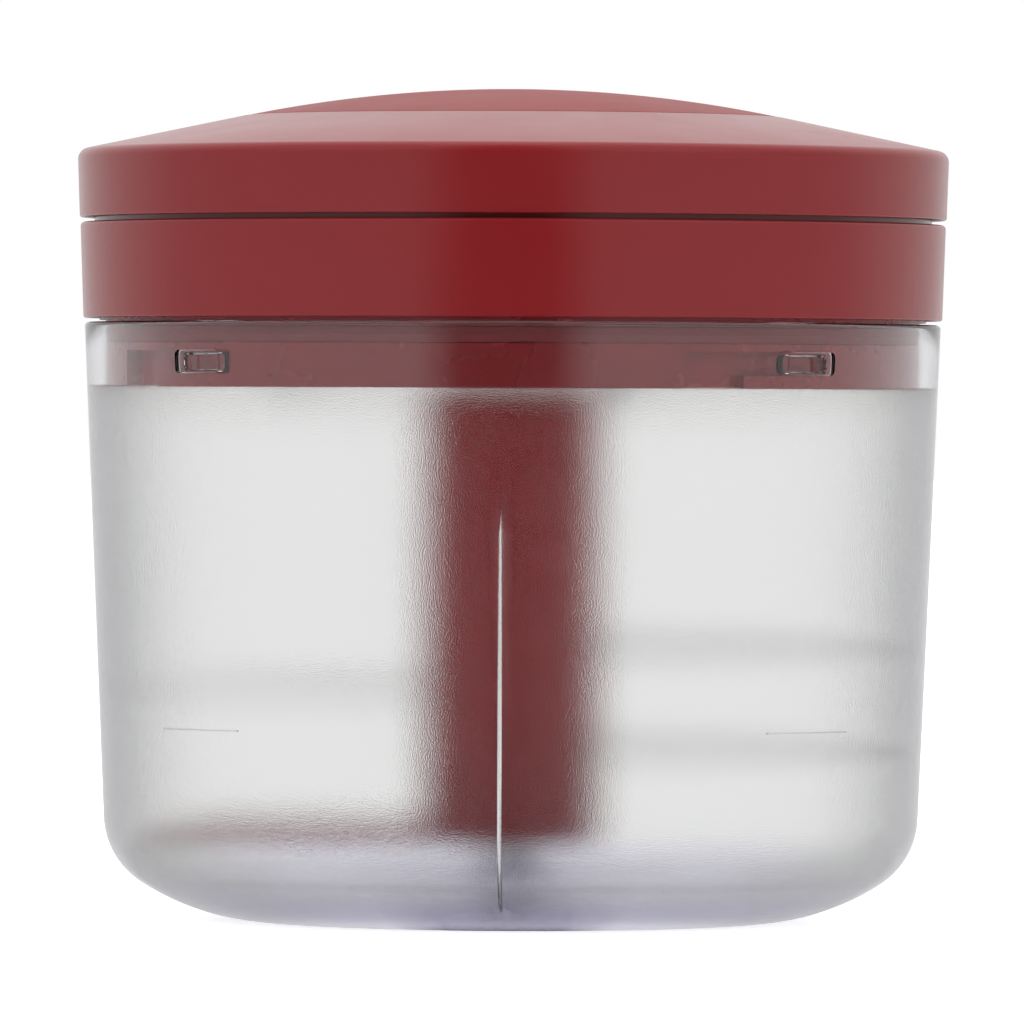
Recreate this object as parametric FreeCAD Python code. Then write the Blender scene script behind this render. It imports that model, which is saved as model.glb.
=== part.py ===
"""Press-down food chopper: a clear bowl, a two-tier red lid and a twisted-rod blade drive."""
import FreeCAD
import Part
import math
import os

from FreeCAD import Vector

os.makedirs("parts", exist_ok=True)

UP = Vector(0, 0, 1)
CENTRE = Vector(0, 0, 0)

# Bowl
bowl_height = 89.8
bowl_mouth_radius = 64.3
bowl_draft = 3.1
bowl_side_radius = bowl_mouth_radius - bowl_draft
bowl_side_start = 16.0
bowl_sweep_width = 25.2
bowl_foot_radius = bowl_side_radius - bowl_sweep_width
bowl_foot_width = 6.0
bowl_foot_recess = 0.8
bowl_sweep_radius = 36.0
bowl_wall = 2.4
bowl_rim_chamfer = 0.5
curve_bands = 3
inner_bands = 2
boss_radius = 6.0
boss_height = 7.1
fin_count = 4
fin_top = 63.0
fin_depth = 1.5
fin_thickness = 1.0

# Bayonet between the bowl and the lid
lug_count = 4
lug_first_angle = -45.0
lug_width = 9.0
lug_height = 2.9
lug_reach = 1.9
lug_drop = 6.05
pocket_depth = 1.5
pocket_margin = 0.3
twist_angle = 15.0
lug_play = 0.3

# Pivot, column and blades
pin_radius = 2.5
pin_length = 23.0
bush_radius = 4.5
bush_cap = 3.0
running_gap = 0.08
column_radius = 13.5
column_wall = 2.0
column_floor = 3.0
column_rounding = 1.8
pin_chamfer = 0.8
column_bottom_gap = 1.5
column_top_gap = 0.7
rib_count = 4
rib_thickness = 1.6
blade_thickness = 1.0
blade_gap = 1.4
blade_reach = bowl_side_radius - bowl_wall - blade_gap
blade_root = 8.0
blade_width = 13.0
blade_belly = 2.6
blade_sweep = 4.0
blade_bevel = 3.0
blade_edge = 0.25
blade_lower_height = 26.1
blade_middle_height = 34.9
blade_upper_height = 41.5
paddle_gap = 5.4
paddle_reach = blade_reach - paddle_gap
paddle_root_width = 11.0
paddle_tip_width = 6.5
paddle_height = 3.3
paddle_lift = 0.4
paddle_slope = 1.4

# Socket in the column and the dogs that turn it
socket_depth = 11.5
socket_wall = 2.2
socket_tooth_reach = 3.1
dog_count = 3
dog_width = 40.0
socket_tooth_width = 30.0
dog_gap = 0.4
dog_clear_depth = 9.0

# Lid
rim_gap = 0.6
ledge_gap = 0.3
flange_gap = 0.8
flange_radius = bowl_mouth_radius - bowl_wall - flange_gap
flange_depth = 9.7
flange_wall = 2.9
groove_skin = 0.9
seal_height = 2.2
seal_drop = 1.1
seal_depth = 1.3
seal_swell = 0.3
seal_gap = 0.1
ledge_thickness = 2.0
band_overhang = 0.2
band_draft = 0.5
band_bottom_radius = bowl_mouth_radius + band_overhang
band_top_radius = band_bottom_radius + band_draft
band_height = 14.4
band_wall = 2.2
band_fit = 0.2
edge_chamfer = 0.5
plate_thickness = 2.0
plate_fit = 0.3
plate_room = 2.0
lid_floor = 2.0
collar_wall = 2.4
tower_wall = 2.8
tower_bore = 12.5
tower_ledge = 2.0
tower_ledge_bore = 6.5
plate_screw_circle = 33.0
plate_screw_count = 3

# Drive
rod_half_width = 3.5
rod_corner_radius = 4.5
rod_lead = 24.0
rod_length = 44.0
rod_head_radius = 5.4
rod_head_length = 8.0
rod_slip = 0.25
rod_step = 15.0
hub_bore = 5.4
hub_neck_wall = 3.5
hub_flange_radius = 12.0
hub_flange_thickness = 2.0
ratchet_teeth = 12
ratchet_tooth_height = 1.5
ratchet_gap = 0.2
nut_height = 5.0
axial_gap = 0.1
ratchet_spring_radius = 9.6
ratchet_spring_wire = 0.9
ratchet_spring_turns = 2
ratchet_spring_height = 4.4

# Plunger
stroke = 20.0
cap_gap = 0.7
cap_overhang = 0.1
cap_draft = 0.4
cap_bottom_radius = band_top_radius + cap_overhang
cap_corner_radius = cap_bottom_radius + cap_draft
cap_side_height = 10.1
cap_cone_rise = 5.3
cap_wall = 2.0
cap_corner_rounding = 2.8
frame_drop = 0.8
frame_thickness = 2.0
skirt_wall = 2.2
skirt_bottom_gap = 0.6
sleeve_bottom_gap = 0.9
slide_gap = 0.6
sleeve_wall = 2.0
sleeve_gap = 0.3
key_width = 3.0
key_depth = 1.1
key_gap = 0.3
holder_wall = 3.6
return_spring_radius = 21.0
return_spring_wire = 1.6
return_spring_turns = 6
frame_screw_circle = 46.0
frame_screw_count = 3
spring_seat_gap = 0.05
spring_sides = 6
spring_steps = 20

# Palm disc and lock
disc_radius = 40.0
disc_crown = 4.1
disc_thickness = 2.2
disc_gap = 0.3
disc_seam = 0.3
dome_bands = 4
disc_recess_radius = 27.0
disc_stub_radius = 5.0
stub_tube_wall = 2.4
lock_angle = 30.0
lock_count = 3
lock_peg_circle = 30.5
lock_peg_radius = 3.0
lock_ring_inner = 25.0
lock_ring_outer = 36.0
lock_ring_thickness = 2.0
lock_head_gap = 0.6
lock_head_height = 2.0
lock_post_inner = 28.0
lock_post_wall = 1.8
lock_hook_reach = 3.4
lock_post_width = 8.0
lock_post_angle = 90.0
lock_window_play = 1.0
peg_window_play = 1.0

# Screws
screw_radius = 1.5
screw_head_radius = 2.8
screw_head_height = 1.6
screw_bite = 3.6
screw_boss_wall = 1.8

# Heights that follow from the sizes above
rod_ratio = 360.0 / rod_lead
column_bottom = bowl_wall + boss_height + column_bottom_gap
lid_bottom = bowl_height - flange_depth
column_top = lid_bottom - column_top_gap
plate_top = lid_bottom + plate_thickness
floor_bottom = plate_top + plate_room
floor_top = floor_bottom + lid_floor
flange_inner = flange_radius - flange_wall
band_bottom = bowl_height + rim_gap
band_top = band_bottom + band_height
tube_top = band_top - band_wall
ledge_bottom = bowl_height + ledge_gap
cap_bottom = band_top + cap_gap
cap_corner = cap_bottom + cap_side_height
crease_height = cap_corner + cap_cone_rise
frame_top = cap_corner - frame_drop
frame_bottom = frame_top - frame_thickness
guide_top = frame_bottom - slide_gap
skirt_outer = flange_inner - slide_gap
skirt_inner = skirt_outer - skirt_wall
collar_outer = skirt_inner - slide_gap
tower_outer = tower_bore + tower_wall
sleeve_inner = tower_outer + sleeve_gap
sleeve_outer = sleeve_inner + sleeve_wall
sleeve_bottom = floor_top + sleeve_bottom_gap
skirt_bottom = bowl_height + skirt_bottom_gap
lug_middle = bowl_height - lug_drop
lug_inner_radius = bowl_mouth_radius - bowl_wall - lug_reach
hub_flange_bottom = plate_top + axial_gap
hub_flange_top = hub_flange_bottom + hub_flange_thickness
hub_neck_radius = hub_bore + hub_neck_wall
nut_bottom = hub_flange_top + ratchet_tooth_height + ratchet_gap
nut_top = nut_bottom + nut_height
tower_ledge_bottom = nut_top + ratchet_spring_height
rod_head_top = frame_bottom
rod_head_bottom = rod_head_top - rod_head_length
rod_bottom = rod_head_bottom - rod_length
holder_radius = rod_head_radius + holder_wall
holder_bottom = rod_head_bottom - holder_wall
socket_bottom = column_top - socket_depth
socket_outer = column_radius - column_wall
socket_inner = socket_outer - socket_wall
lock_head_top = guide_top
lock_head_bottom = lock_head_top - lock_head_height
lock_ring_top = lock_head_bottom - lock_head_gap
lock_ring_bottom = lock_ring_top - lock_ring_thickness
disc_sphere = (disc_radius ** 2 + disc_crown ** 2) / (2 * disc_crown)
disc_centre = crease_height + disc_crown - disc_sphere


def polar(radius, angle, height=0.0):
    """Return the point at a radius, an angle in degrees and a height."""
    turn = math.radians(angle)
    return Vector(radius * math.cos(turn), radius * math.sin(turn), height)


def turned(shape, angle):
    """Return a copy of a shape, turned about the upright axis."""
    copy = shape.copy()
    copy.rotate(CENTRE, UP, angle)
    return copy


def spread(shape, count, first=0.0):
    """Return equal copies of a shape, evenly spaced about the axis."""
    return [turned(shape, first + 360.0 * n / count) for n in range(count)]


def disc(radius, bottom, top):
    """Return an upright cylinder on the axis."""
    return Part.makeCylinder(radius, top - bottom, Vector(0, 0, bottom))


def ring(inner, outer, bottom, top):
    """Return an upright tube on the axis."""
    return disc(outer, bottom, top).cut(disc(inner, bottom, top))


def sector(inner, outer, bottom, top, middle, width):
    """Return a piece of a tube that spans an angle about its middle."""
    solid = Part.makeCylinder(outer, top - bottom, Vector(0, 0, bottom), UP, width)
    solid = solid.cut(disc(inner, bottom, top))
    return turned(solid, middle - width / 2)


def arc_slot(circle, radius, bottom, top, start, sweep):
    """Return a slot with round ends along a circle about the axis."""
    slot = sector(circle - radius, circle + radius, bottom, top, start + sweep / 2, sweep)
    ends = [Part.makeCylinder(radius, top - bottom, polar(circle, angle, bottom))
            for angle in (start, start + sweep)]
    return slot.fuse(ends)


def revolved(points):
    """Turn a closed outline of radius and height pairs about the axis."""
    outline = [Vector(r, 0, z) for r, z in points]
    return Part.Face(Part.makePolygon(outline + outline[:1])).revolve(CENTRE, UP, 360)


def arc_bands(centre_r, centre_z, first, last, bands):
    """Return points along an arc about a centre, after its first point and up to its last."""
    radius = math.hypot(first[0] - centre_r, first[1] - centre_z)
    start = math.atan2(first[1] - centre_z, first[0] - centre_r)
    sweep = math.atan2(last[1] - centre_z, last[0] - centre_r) - start
    return [(centre_r + radius * math.cos(start + sweep * n / bands),
             centre_z + radius * math.sin(start + sweep * n / bands))
            for n in range(1, bands + 1)]


def skinned(outlines, quartered=False):
    """Return the solid whose skin joins each outline to the next with flat triangles."""
    faces = []
    count = len(outlines[0])
    for low, high in zip(outlines, outlines[1:]):
        for n in range(count):
            after = (n + 1) % count
            patch = [low[n], low[after], high[after], high[n]]
            if quartered:
                middle = (patch[0] + patch[1] + patch[2] + patch[3]) * 0.25
                faces += [[patch[k - 1], patch[k], middle] for k in range(4)]
            else:
                faces += [patch[:3], [patch[0], patch[2], patch[3]]]
    faces += [outlines[0], outlines[-1]]
    shell = Part.makeShell([Part.Face(Part.makePolygon(face + face[:1])) for face in faces])
    return Part.makeSolid(shell)


def sphere_height(radius, drop):
    """Return the height of the domed disc's surface, a distance below its top face."""
    return disc_centre + math.sqrt((disc_sphere - drop) ** 2 - radius ** 2)


def bowl_radius(height):
    """Return the outer radius of the bowl's straight side at a height."""
    share = (height - bowl_side_start) / (bowl_height - bowl_side_start)
    return bowl_side_radius + share * (bowl_mouth_radius - bowl_side_radius)


def bowl_outline(inset, bands):
    """Return points from the foot up round the bowl's two curves, inset by a wall."""
    width = bowl_side_radius - bowl_foot_radius
    drop = bowl_sweep_radius - bowl_side_start
    corner = (bowl_sweep_radius ** 2 - width ** 2 - drop ** 2) / (2 * (bowl_sweep_radius - width))
    corner_r = bowl_side_radius - corner
    along = Vector(corner_r - bowl_foot_radius, -drop, 0).normalize()
    reach = bowl_sweep_radius - inset
    foot = (bowl_foot_radius, inset)
    join = (bowl_foot_radius + along.x * reach, bowl_sweep_radius + along.y * reach)
    side = (bowl_side_radius - inset, bowl_side_start)
    sweep = arc_bands(bowl_foot_radius, bowl_sweep_radius, foot, join, bands)
    turn = arc_bands(corner_r, bowl_side_start, join, side, bands)
    return [foot] + sweep + turn


def dome(radius, drop, bands):
    """Return points from a radius on the domed top, or on a level under it, to the axis."""
    rim = [(radius * n / bands, sphere_height(radius * n / bands, drop))
           for n in range(bands, 0, -1)]
    peak = sphere_height(0, drop)
    return rim[:-1] + [(rim[-1][0], peak), (0, peak)]


def screw(head_z, up, bite):
    """Return a pan-head screw on the axis whose head seats on a face at a height."""
    way = 1 if up else -1
    shank = Part.makeCylinder(screw_radius, bite, Vector(0, 0, head_z), UP * way)
    head = Part.makeCylinder(screw_head_radius, screw_head_height, Vector(0, 0, head_z), UP * -way)
    return shank.fuse(head).removeSplitter()


def coil(radius, wire, bottom, top, turns):
    """Return a compression spring wound on a helix, and its least gap to itself."""
    low = bottom + wire / 2
    rise = top - bottom - wire
    slope = rise / turns / (2 * math.pi * radius)
    steps = turns * spring_steps
    outlines = []
    for n in range(steps + 1):
        angle = 360.0 * n / spring_steps
        centre = polar(radius, angle, low + rise * n / steps)
        out = polar(wire / 2, angle)
        over = (polar(slope, angle - 90) + UP).normalize() * (wire / 2)
        sides = [2 * math.pi * k / spring_sides for k in range(spring_sides)]
        outlines.append([centre + out * math.cos(a) + over * math.sin(a) for a in sides])
    gap = rise / turns / math.sqrt(1 + slope ** 2) - wire
    return skinned(outlines), gap


def twisted_bar(bottom, top, clearance=0.0):
    """Return a square bar with cut corners that turns once in each lead."""
    half = rod_half_width + clearance
    corner = rod_corner_radius + clearance
    lean = math.degrees(math.acos(half / corner))
    steps = math.ceil((top - bottom) * rod_ratio / rod_step)
    outlines = []
    for n in range(steps + 1):
        height = bottom + (top - bottom) * n / steps
        outline = []
        for quarter in range(4):
            middle = rod_ratio * height + 90 * quarter
            outline += [polar(corner, middle - lean, height), polar(corner, middle + lean, height)]
        outlines.append(outline)
    return skinned(outlines, True)


def ramp_teeth(inner, outer, base, height, play):
    """Return saw teeth on a flat ring. A negative height makes teeth that hang down."""
    pitch = 360.0 / ratchet_teeth
    teeth = []
    for n in range(ratchet_teeth):
        start = pitch * n
        end = pitch * (n + 1) - play
        steep = start if height > 0 else end
        teeth.append(skinned([[polar(radius, start, base), polar(radius, end, base),
                               polar(radius, steep, base + height)]
                              for radius in (inner, outer)]))
    return teeth


def lug_angles():
    """Return the angles of the bayonet lugs."""
    return [lug_first_angle + 360.0 * n / lug_count for n in range(lug_count)]


def make_bowl():
    """The open bowl with its boss, fins, bayonet lugs and the pockets behind them."""
    rim = bowl_height - bowl_rim_chamfer
    foot_inner = bowl_foot_radius - bowl_foot_width
    outer = [(foot_inner, bowl_foot_recess), (foot_inner, 0)] + bowl_outline(0, curve_bands)
    mouth = [(bowl_mouth_radius, rim), (bowl_mouth_radius - bowl_rim_chamfer, bowl_height),
             (bowl_mouth_radius - bowl_wall + bowl_rim_chamfer, bowl_height),
             (bowl_mouth_radius - bowl_wall, rim)]
    inner = bowl_outline(bowl_wall, inner_bands)[::-1]
    bowl = revolved([(0, bowl_foot_recess)] + outer + mouth + inner + [(0, bowl_wall)])
    boss = disc(boss_radius, bowl_wall / 2, bowl_wall + boss_height)
    within = revolved([(0, bowl_wall / 2)] + bowl_outline(bowl_wall / 2, inner_bands)
                      + [(bowl_mouth_radius, bowl_height), (0, bowl_height)])
    bowl = bowl.fuse([boss, make_fins().common(within)]).removeSplitter()
    lug_span = math.degrees(lug_width / lug_inner_radius)
    for angle in lug_angles():
        wall = bowl_radius(lug_middle)
        lug = sector(lug_inner_radius, wall - bowl_wall / 2, lug_middle - lug_height / 2,
                     lug_middle + lug_height / 2, angle, lug_span)
        pocket_half = lug_height / 2 + pocket_margin
        pocket = sector(wall - pocket_depth, wall + bowl_wall, lug_middle - pocket_half,
                        lug_middle + pocket_half, angle, lug_span)
        bowl = bowl.fuse(lug).cut(pocket)
    return bowl.cut(make_pin())


def make_fins():
    """Low fins inside the wall that stop the food from sliding round."""
    inner = bowl_radius(bowl_side_start) - bowl_wall
    low = bowl_wall
    corners = [(bowl_radius(fin_top) - bowl_wall, fin_top),
               (inner - fin_depth, bowl_side_start),
               (inner - fin_depth - bowl_side_start + low, low),
               (inner, low / 2),
               (inner + bowl_wall / 2, bowl_side_start),
               (bowl_radius(fin_top) - bowl_wall / 2, fin_top)]
    points = [Vector(r, -fin_thickness / 2, z) for r, z in corners]
    face = Part.Face(Part.makePolygon(points + points[:1]))
    fin = face.extrude(Vector(0, fin_thickness, 0))
    fins = spread(fin, fin_count)
    return fins[0].fuse(fins[1:])


def make_pin():
    """The steel pin moulded into the bowl's boss."""
    low = bowl_wall / 2
    return revolved([(0, low), (pin_radius, low), (pin_radius, pin_top() - pin_chamfer),
                     (pin_radius - pin_chamfer, pin_top()), (0, pin_top())])


def pin_top():
    """Return the height of the pin's end."""
    return bowl_wall / 2 + pin_length


def make_bush():
    """The blind bush that carries the column on the pin."""
    top = pin_top() + axial_gap + bush_cap
    bore = disc(pin_radius + running_gap, column_bottom, pin_top() + axial_gap)
    return disc(bush_radius, column_bottom, top).cut(bore)


def make_column():
    """The hollow column with its floor, bush tube, inner ribs and slots for the blades."""
    low = column_radius - column_rounding
    side = (column_radius, column_bottom + column_rounding)
    foot = arc_bands(low, side[1], (low, column_bottom), side, curve_bands)
    outer = revolved([(0, column_bottom), (low, column_bottom)] + foot
                     + [(column_radius, column_top), (0, column_top)])
    hollow = disc(column_radius - column_wall, column_bottom + column_floor, column_top)
    column = outer.cut(hollow)
    bush_top = pin_top() + axial_gap + bush_cap
    column = column.fuse(disc(bush_radius + column_wall, column_bottom, bush_top))
    rib = Part.makeBox(column_radius - column_wall / 2 - bush_radius - column_wall / 2,
                       rib_thickness, socket_bottom - column_bottom - column_floor,
                       Vector(bush_radius + column_wall / 2, -rib_thickness / 2,
                              column_bottom + column_floor))
    column = column.fuse(spread(rib, rib_count, 180.0 / rib_count)).removeSplitter()
    column = column.cut(disc(bush_radius, column_bottom, bush_top))
    return column.cut([make_blade_lower(), make_blade_middle(), make_blade_upper(),
                       make_paddle()])


def make_blade(height, angle):
    """One thin blade whose curved edge is ground to a bevel on its upper face."""
    half = blade_width / 2
    tip = Vector(math.sqrt(blade_reach ** 2 - blade_sweep ** 2), -blade_sweep, 0)
    middle = (blade_root + tip.x) / 2
    front = Vector(blade_root, half, 0)
    back = Vector(blade_root, -half, 0)
    edge = Part.Arc(front, Vector(middle, half / 2 + blade_belly, 0), tip).toShape()
    spine = Part.Arc(tip, Vector(middle, -half + blade_belly / 2, 0), back)
    root = Part.LineSegment(back, front)
    plan = Part.Wire([edge, spine.toShape(), root.toShape()])
    plate = Part.Face(plan).extrude(UP * blade_thickness)
    grind = edge.Curve.Radius
    outline = [Vector(grind - blade_bevel, 0, blade_thickness),
               Vector(grind, 0, blade_edge),
               Vector(grind + blade_bevel, 0, blade_edge),
               Vector(grind + blade_bevel, 0, blade_thickness * 2),
               Vector(grind - blade_bevel, 0, blade_thickness * 2)]
    wedge = Part.Face(Part.makePolygon(outline + outline[:1])).revolve(CENTRE, UP, 360)
    wedge.translate(edge.Curve.Center)
    blade = plate.cut(wedge)
    blade.translate(Vector(0, 0, height - blade_thickness / 2))
    return turned(blade, angle)


def make_blade_lower():
    """The lowest blade, on the right."""
    return make_blade(blade_lower_height, 0)


def make_blade_middle():
    """The middle blade, on the left."""
    return make_blade(blade_middle_height, 180)


def make_blade_upper():
    """The highest blade, on the right."""
    return make_blade(blade_upper_height, 0)


def make_paddle():
    """The low arm that lifts food off the floor, with a sloping front."""
    root = bush_radius + column_wall
    low = column_bottom + paddle_lift
    outlines = []
    for reach, width in ((root, paddle_root_width), (paddle_reach - paddle_tip_width / 2,
                                                    paddle_tip_width)):
        half = width / 2
        corners = [Vector(reach, -half, low), Vector(reach, half + paddle_slope, low),
                   Vector(reach, half - paddle_slope, low + paddle_height),
                   Vector(reach, -half, low + paddle_height)]
        outlines.append(Part.makePolygon(corners + corners[:1]))
    arm = Part.makeLoft(outlines, True, True)
    tip = Part.makeCylinder(paddle_tip_width / 2, paddle_height,
                            Vector(paddle_reach - paddle_tip_width / 2, 0, low))
    inner = disc(root, low, low + paddle_height)
    return turned(arm.fuse(tip).removeSplitter().cut(inner), 180)


def make_drive_socket():
    """The insert in the column's mouth, with teeth that the dogs push."""
    socket = ring(socket_inner, socket_outer, socket_bottom, column_top)
    tooth = sector(socket_inner - socket_tooth_reach, socket_inner + socket_wall / 2,
                   socket_bottom, column_top - axial_gap, 0, socket_tooth_width)
    return socket.fuse(spread(tooth, dog_count)).removeSplitter()


def make_seal():
    """The soft ring in the flange's groove."""
    top = ledge_bottom - seal_drop - seal_gap
    bottom = top - seal_height
    inner = flange_radius - seal_depth + seal_gap
    outer = flange_radius + seal_swell
    middle = (top + bottom) / 2
    return revolved([(inner, bottom), (flange_radius, bottom), (outer, middle),
                     (flange_radius, top), (inner, top)])


def make_lid_body():
    """The lid's main moulding: flange, floor, collar, guide tower, lock posts and bosses."""
    tube = ring(flange_inner, flange_radius, lid_bottom, tube_top)
    ledge = ring(flange_radius - flange_wall / 2, band_bottom_radius - band_wall - band_fit,
                 ledge_bottom, ledge_bottom + ledge_thickness)
    floor = ring(tower_bore, flange_inner + flange_wall / 2, floor_bottom, floor_top)
    collar = ring(collar_outer - collar_wall, collar_outer, floor_bottom, guide_top)
    tower = ring(tower_bore, tower_outer, floor_bottom, guide_top)
    shelf = ring(tower_ledge_bore, tower_bore + tower_wall / 2, tower_ledge_bottom,
                 tower_ledge_bottom + tower_ledge)
    body = tube.fuse([ledge, floor, collar, tower, shelf])
    bosses = []
    for n in range(plate_screw_count):
        spot = polar(plate_screw_circle, 360.0 * (n + 0.5) / plate_screw_count, plate_top)
        bosses.append(Part.makeCylinder(screw_radius + screw_boss_wall,
                                        floor_bottom + lid_floor / 2 - plate_top, spot))
    body = body.fuse(bosses + make_lock_posts()).removeSplitter()
    seal_top = ledge_bottom - seal_drop
    seal_groove = ring(flange_radius - seal_depth, flange_radius + seal_depth,
                       seal_top - seal_height - 2 * seal_gap, seal_top)
    key_groove = Part.makeBox(key_depth + key_gap + sleeve_gap, key_width + 2 * key_gap,
                              guide_top - floor_top,
                              Vector(sleeve_inner - key_depth - key_gap,
                                     -key_width / 2 - key_gap, floor_top))
    body = body.cut([seal_groove] + spread(key_groove, 2) + make_bayonet_grooves())
    return body.cut(make_plate_screws())


def make_bayonet_grooves():
    """The slots in the flange: an entry open below, then a run over the locking ledge."""
    floor_radius = flange_inner + groove_skin
    lug_half = math.degrees(lug_width / lug_inner_radius) / 2
    play = math.degrees(lug_play / flange_radius)
    bottom = lug_middle - lug_height / 2 - lug_play
    top = lug_middle + lug_height / 2 + lug_play
    grooves = []
    for angle in lug_angles():
        run = sector(floor_radius, flange_radius + groove_skin, bottom, top,
                     angle - twist_angle / 2, twist_angle + 2 * (lug_half + play))
        entry = sector(floor_radius, flange_radius + groove_skin, lid_bottom, top,
                       angle - twist_angle, 2 * (lug_half + play))
        grooves.append(run.fuse(entry).removeSplitter())
    return grooves


def make_lock_posts():
    """Posts with hooks at the top that the turned lock ring lies under."""
    outer = lock_post_inner + lock_post_wall
    shank = sector(lock_post_inner, outer, floor_top - lid_floor / 2, lock_head_top, 0,
                   lock_post_width)
    head = sector(lock_post_inner, outer + lock_hook_reach, lock_head_bottom, lock_head_top, 0,
                  lock_post_width)
    return spread(shank.fuse(head).removeSplitter(), lock_count, lock_post_angle)


def make_lid_band():
    """The red band that shows as the lid's lower tier."""
    return revolved([(band_bottom_radius - band_wall, band_bottom),
                     (band_bottom_radius, band_bottom),
                     (band_top_radius, band_top - edge_chamfer),
                     (band_top_radius - edge_chamfer, band_top),
                     (flange_inner, band_top), (flange_inner, tube_top),
                     (band_bottom_radius - band_wall, tube_top)])


def make_bearing_plate():
    """The plate that closes the lid from below and carries the hub's neck."""
    plate = ring(hub_neck_radius + running_gap, flange_inner - plate_fit, lid_bottom, plate_top)
    return plate.cut(make_plate_screws())


def make_plate_screws():
    """The screws that hold the bearing plate to the lid's bosses."""
    one = screw(lid_bottom, True, plate_thickness + screw_bite)
    one.translate(Vector(plate_screw_circle, 0, 0))
    return spread(one, plate_screw_count, 180.0 / plate_screw_count)


def make_drive_hub():
    """The flanged hub: dogs below, a neck in the plate and ratchet teeth on top."""
    neck = ring(hub_bore, hub_neck_radius, column_top + axial_gap, hub_flange_bottom)
    flange = ring(hub_bore, hub_flange_radius, hub_flange_bottom, hub_flange_top)
    teeth = ramp_teeth(hub_neck_radius, hub_flange_radius, hub_flange_top,
                       ratchet_tooth_height, 0)
    dog = sector(hub_bore, socket_inner - dog_gap, column_top - dog_clear_depth,
                 column_top + axial_gap, 180.0 / dog_count, dog_width)
    return neck.fuse([flange] + teeth + spread(dog, dog_count)).removeSplitter()


def make_drive_nut():
    """The nut that the twisted rod turns, with ratchet teeth below."""
    nut = disc(hub_flange_radius, nut_bottom, nut_top)
    play = math.degrees(ratchet_gap / hub_flange_radius)
    teeth = ramp_teeth(hub_neck_radius, hub_flange_radius, nut_bottom,
                       -ratchet_tooth_height, play)
    nut = nut.fuse(teeth).removeSplitter()
    return nut.cut(twisted_bar(nut_bottom - axial_gap, nut_top + axial_gap, rod_slip))


def make_ratchet_spring():
    """The light spring that keeps the nut's teeth in the hub's."""
    return coil(ratchet_spring_radius, ratchet_spring_wire, nut_top + disc_gap,
                tower_ledge_bottom - spring_seat_gap, ratchet_spring_turns)


def make_drive_rod():
    """The twisted square rod with its flatted head."""
    bar = twisted_bar(rod_bottom, rod_head_bottom)
    rod = bar.fuse(make_rod_head()).removeSplitter()
    return rod.cut(make_rod_screw())


def make_rod_head():
    """The rod's round head with two flats."""
    head = disc(rod_head_radius, rod_head_bottom, rod_head_top)
    flat = Part.makeBox(2 * rod_head_radius, 2 * rod_corner_radius, rod_head_length,
                        Vector(-rod_head_radius, -rod_corner_radius, rod_head_bottom))
    return head.common(flat)


def make_rod_screw():
    """The screw that holds the rod's head in the plunger frame."""
    return screw(frame_top, False, frame_thickness + screw_bite)


def peg_slots(bottom, top):
    """Return the curved windows that the palm disc's pegs pass through."""
    first = lock_post_angle - 180.0 / lock_count
    slot = arc_slot(lock_peg_circle, lock_peg_radius + peg_window_play, bottom, top,
                    first, lock_angle)
    return spread(slot, lock_count)


def make_plunger_frame():
    """The plate under the cap with its guide skirt, guide sleeve, keys and rod holder."""
    plate = disc(skirt_outer, frame_bottom, frame_top)
    skirt = ring(skirt_inner, skirt_outer, skirt_bottom, frame_top)
    sleeve = ring(sleeve_inner, sleeve_outer, sleeve_bottom, frame_top)
    holder = disc(holder_radius, holder_bottom, frame_top)
    key = Part.makeBox(key_depth + sleeve_wall / 2, key_width, frame_bottom - sleeve_bottom,
                       Vector(sleeve_inner - key_depth, -key_width / 2, sleeve_bottom))
    frame = plate.fuse([skirt, sleeve, holder] + spread(key, 2)).removeSplitter()
    throat = disc(rod_corner_radius + rod_slip, holder_bottom, rod_head_bottom)
    cuts = [throat, make_rod_head(), make_rod_screw()]
    return frame.cut(cuts + peg_slots(frame_bottom, frame_top) + make_frame_screws())


def make_frame_screws():
    """The screws that hold the plunger frame to the cap's bosses."""
    one = screw(frame_bottom, True, frame_thickness + screw_bite)
    one.translate(Vector(frame_screw_circle, 0, 0))
    return spread(one, frame_screw_count, 180.0 / frame_screw_count)


def make_return_spring():
    """The spring between the lid's floor and the plunger frame, shown pressed together."""
    return coil(return_spring_radius, return_spring_wire, floor_top + spring_seat_gap,
                frame_bottom - spring_seat_gap, return_spring_turns)


def cone_height(radius):
    """Return the height of the cap's sloping top at a radius."""
    run = cap_corner_radius - disc_radius - disc_gap
    return cap_corner + cap_cone_rise * (cap_corner_radius - radius) / run


def cap_shoulder():
    """Return the points of the rounded corner between the cap's side and its sloping top."""
    corner = Vector(cap_corner_radius, cap_corner, 0)
    down = Vector(cap_bottom_radius - cap_corner_radius, cap_bottom - cap_corner, 0).normalize()
    run = cap_corner_radius - disc_radius - disc_gap
    inward = Vector(-run, cap_cone_rise, 0).normalize()
    half = down.getAngle(inward) / 2
    centre = corner + (down + inward).normalize() * (cap_corner_rounding / math.sin(half))
    first = corner + down * (cap_corner_rounding / math.tan(half))
    last = corner + inward * (cap_corner_rounding / math.tan(half))
    return [(first.x, first.y)] + arc_bands(centre.x, centre.y, (first.x, first.y),
                                            (last.x, last.y), curve_bands)


def recess_height():
    """Return the height of the flat recess under the palm disc."""
    return sphere_height(disc_recess_radius, 0) - disc_thickness


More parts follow.
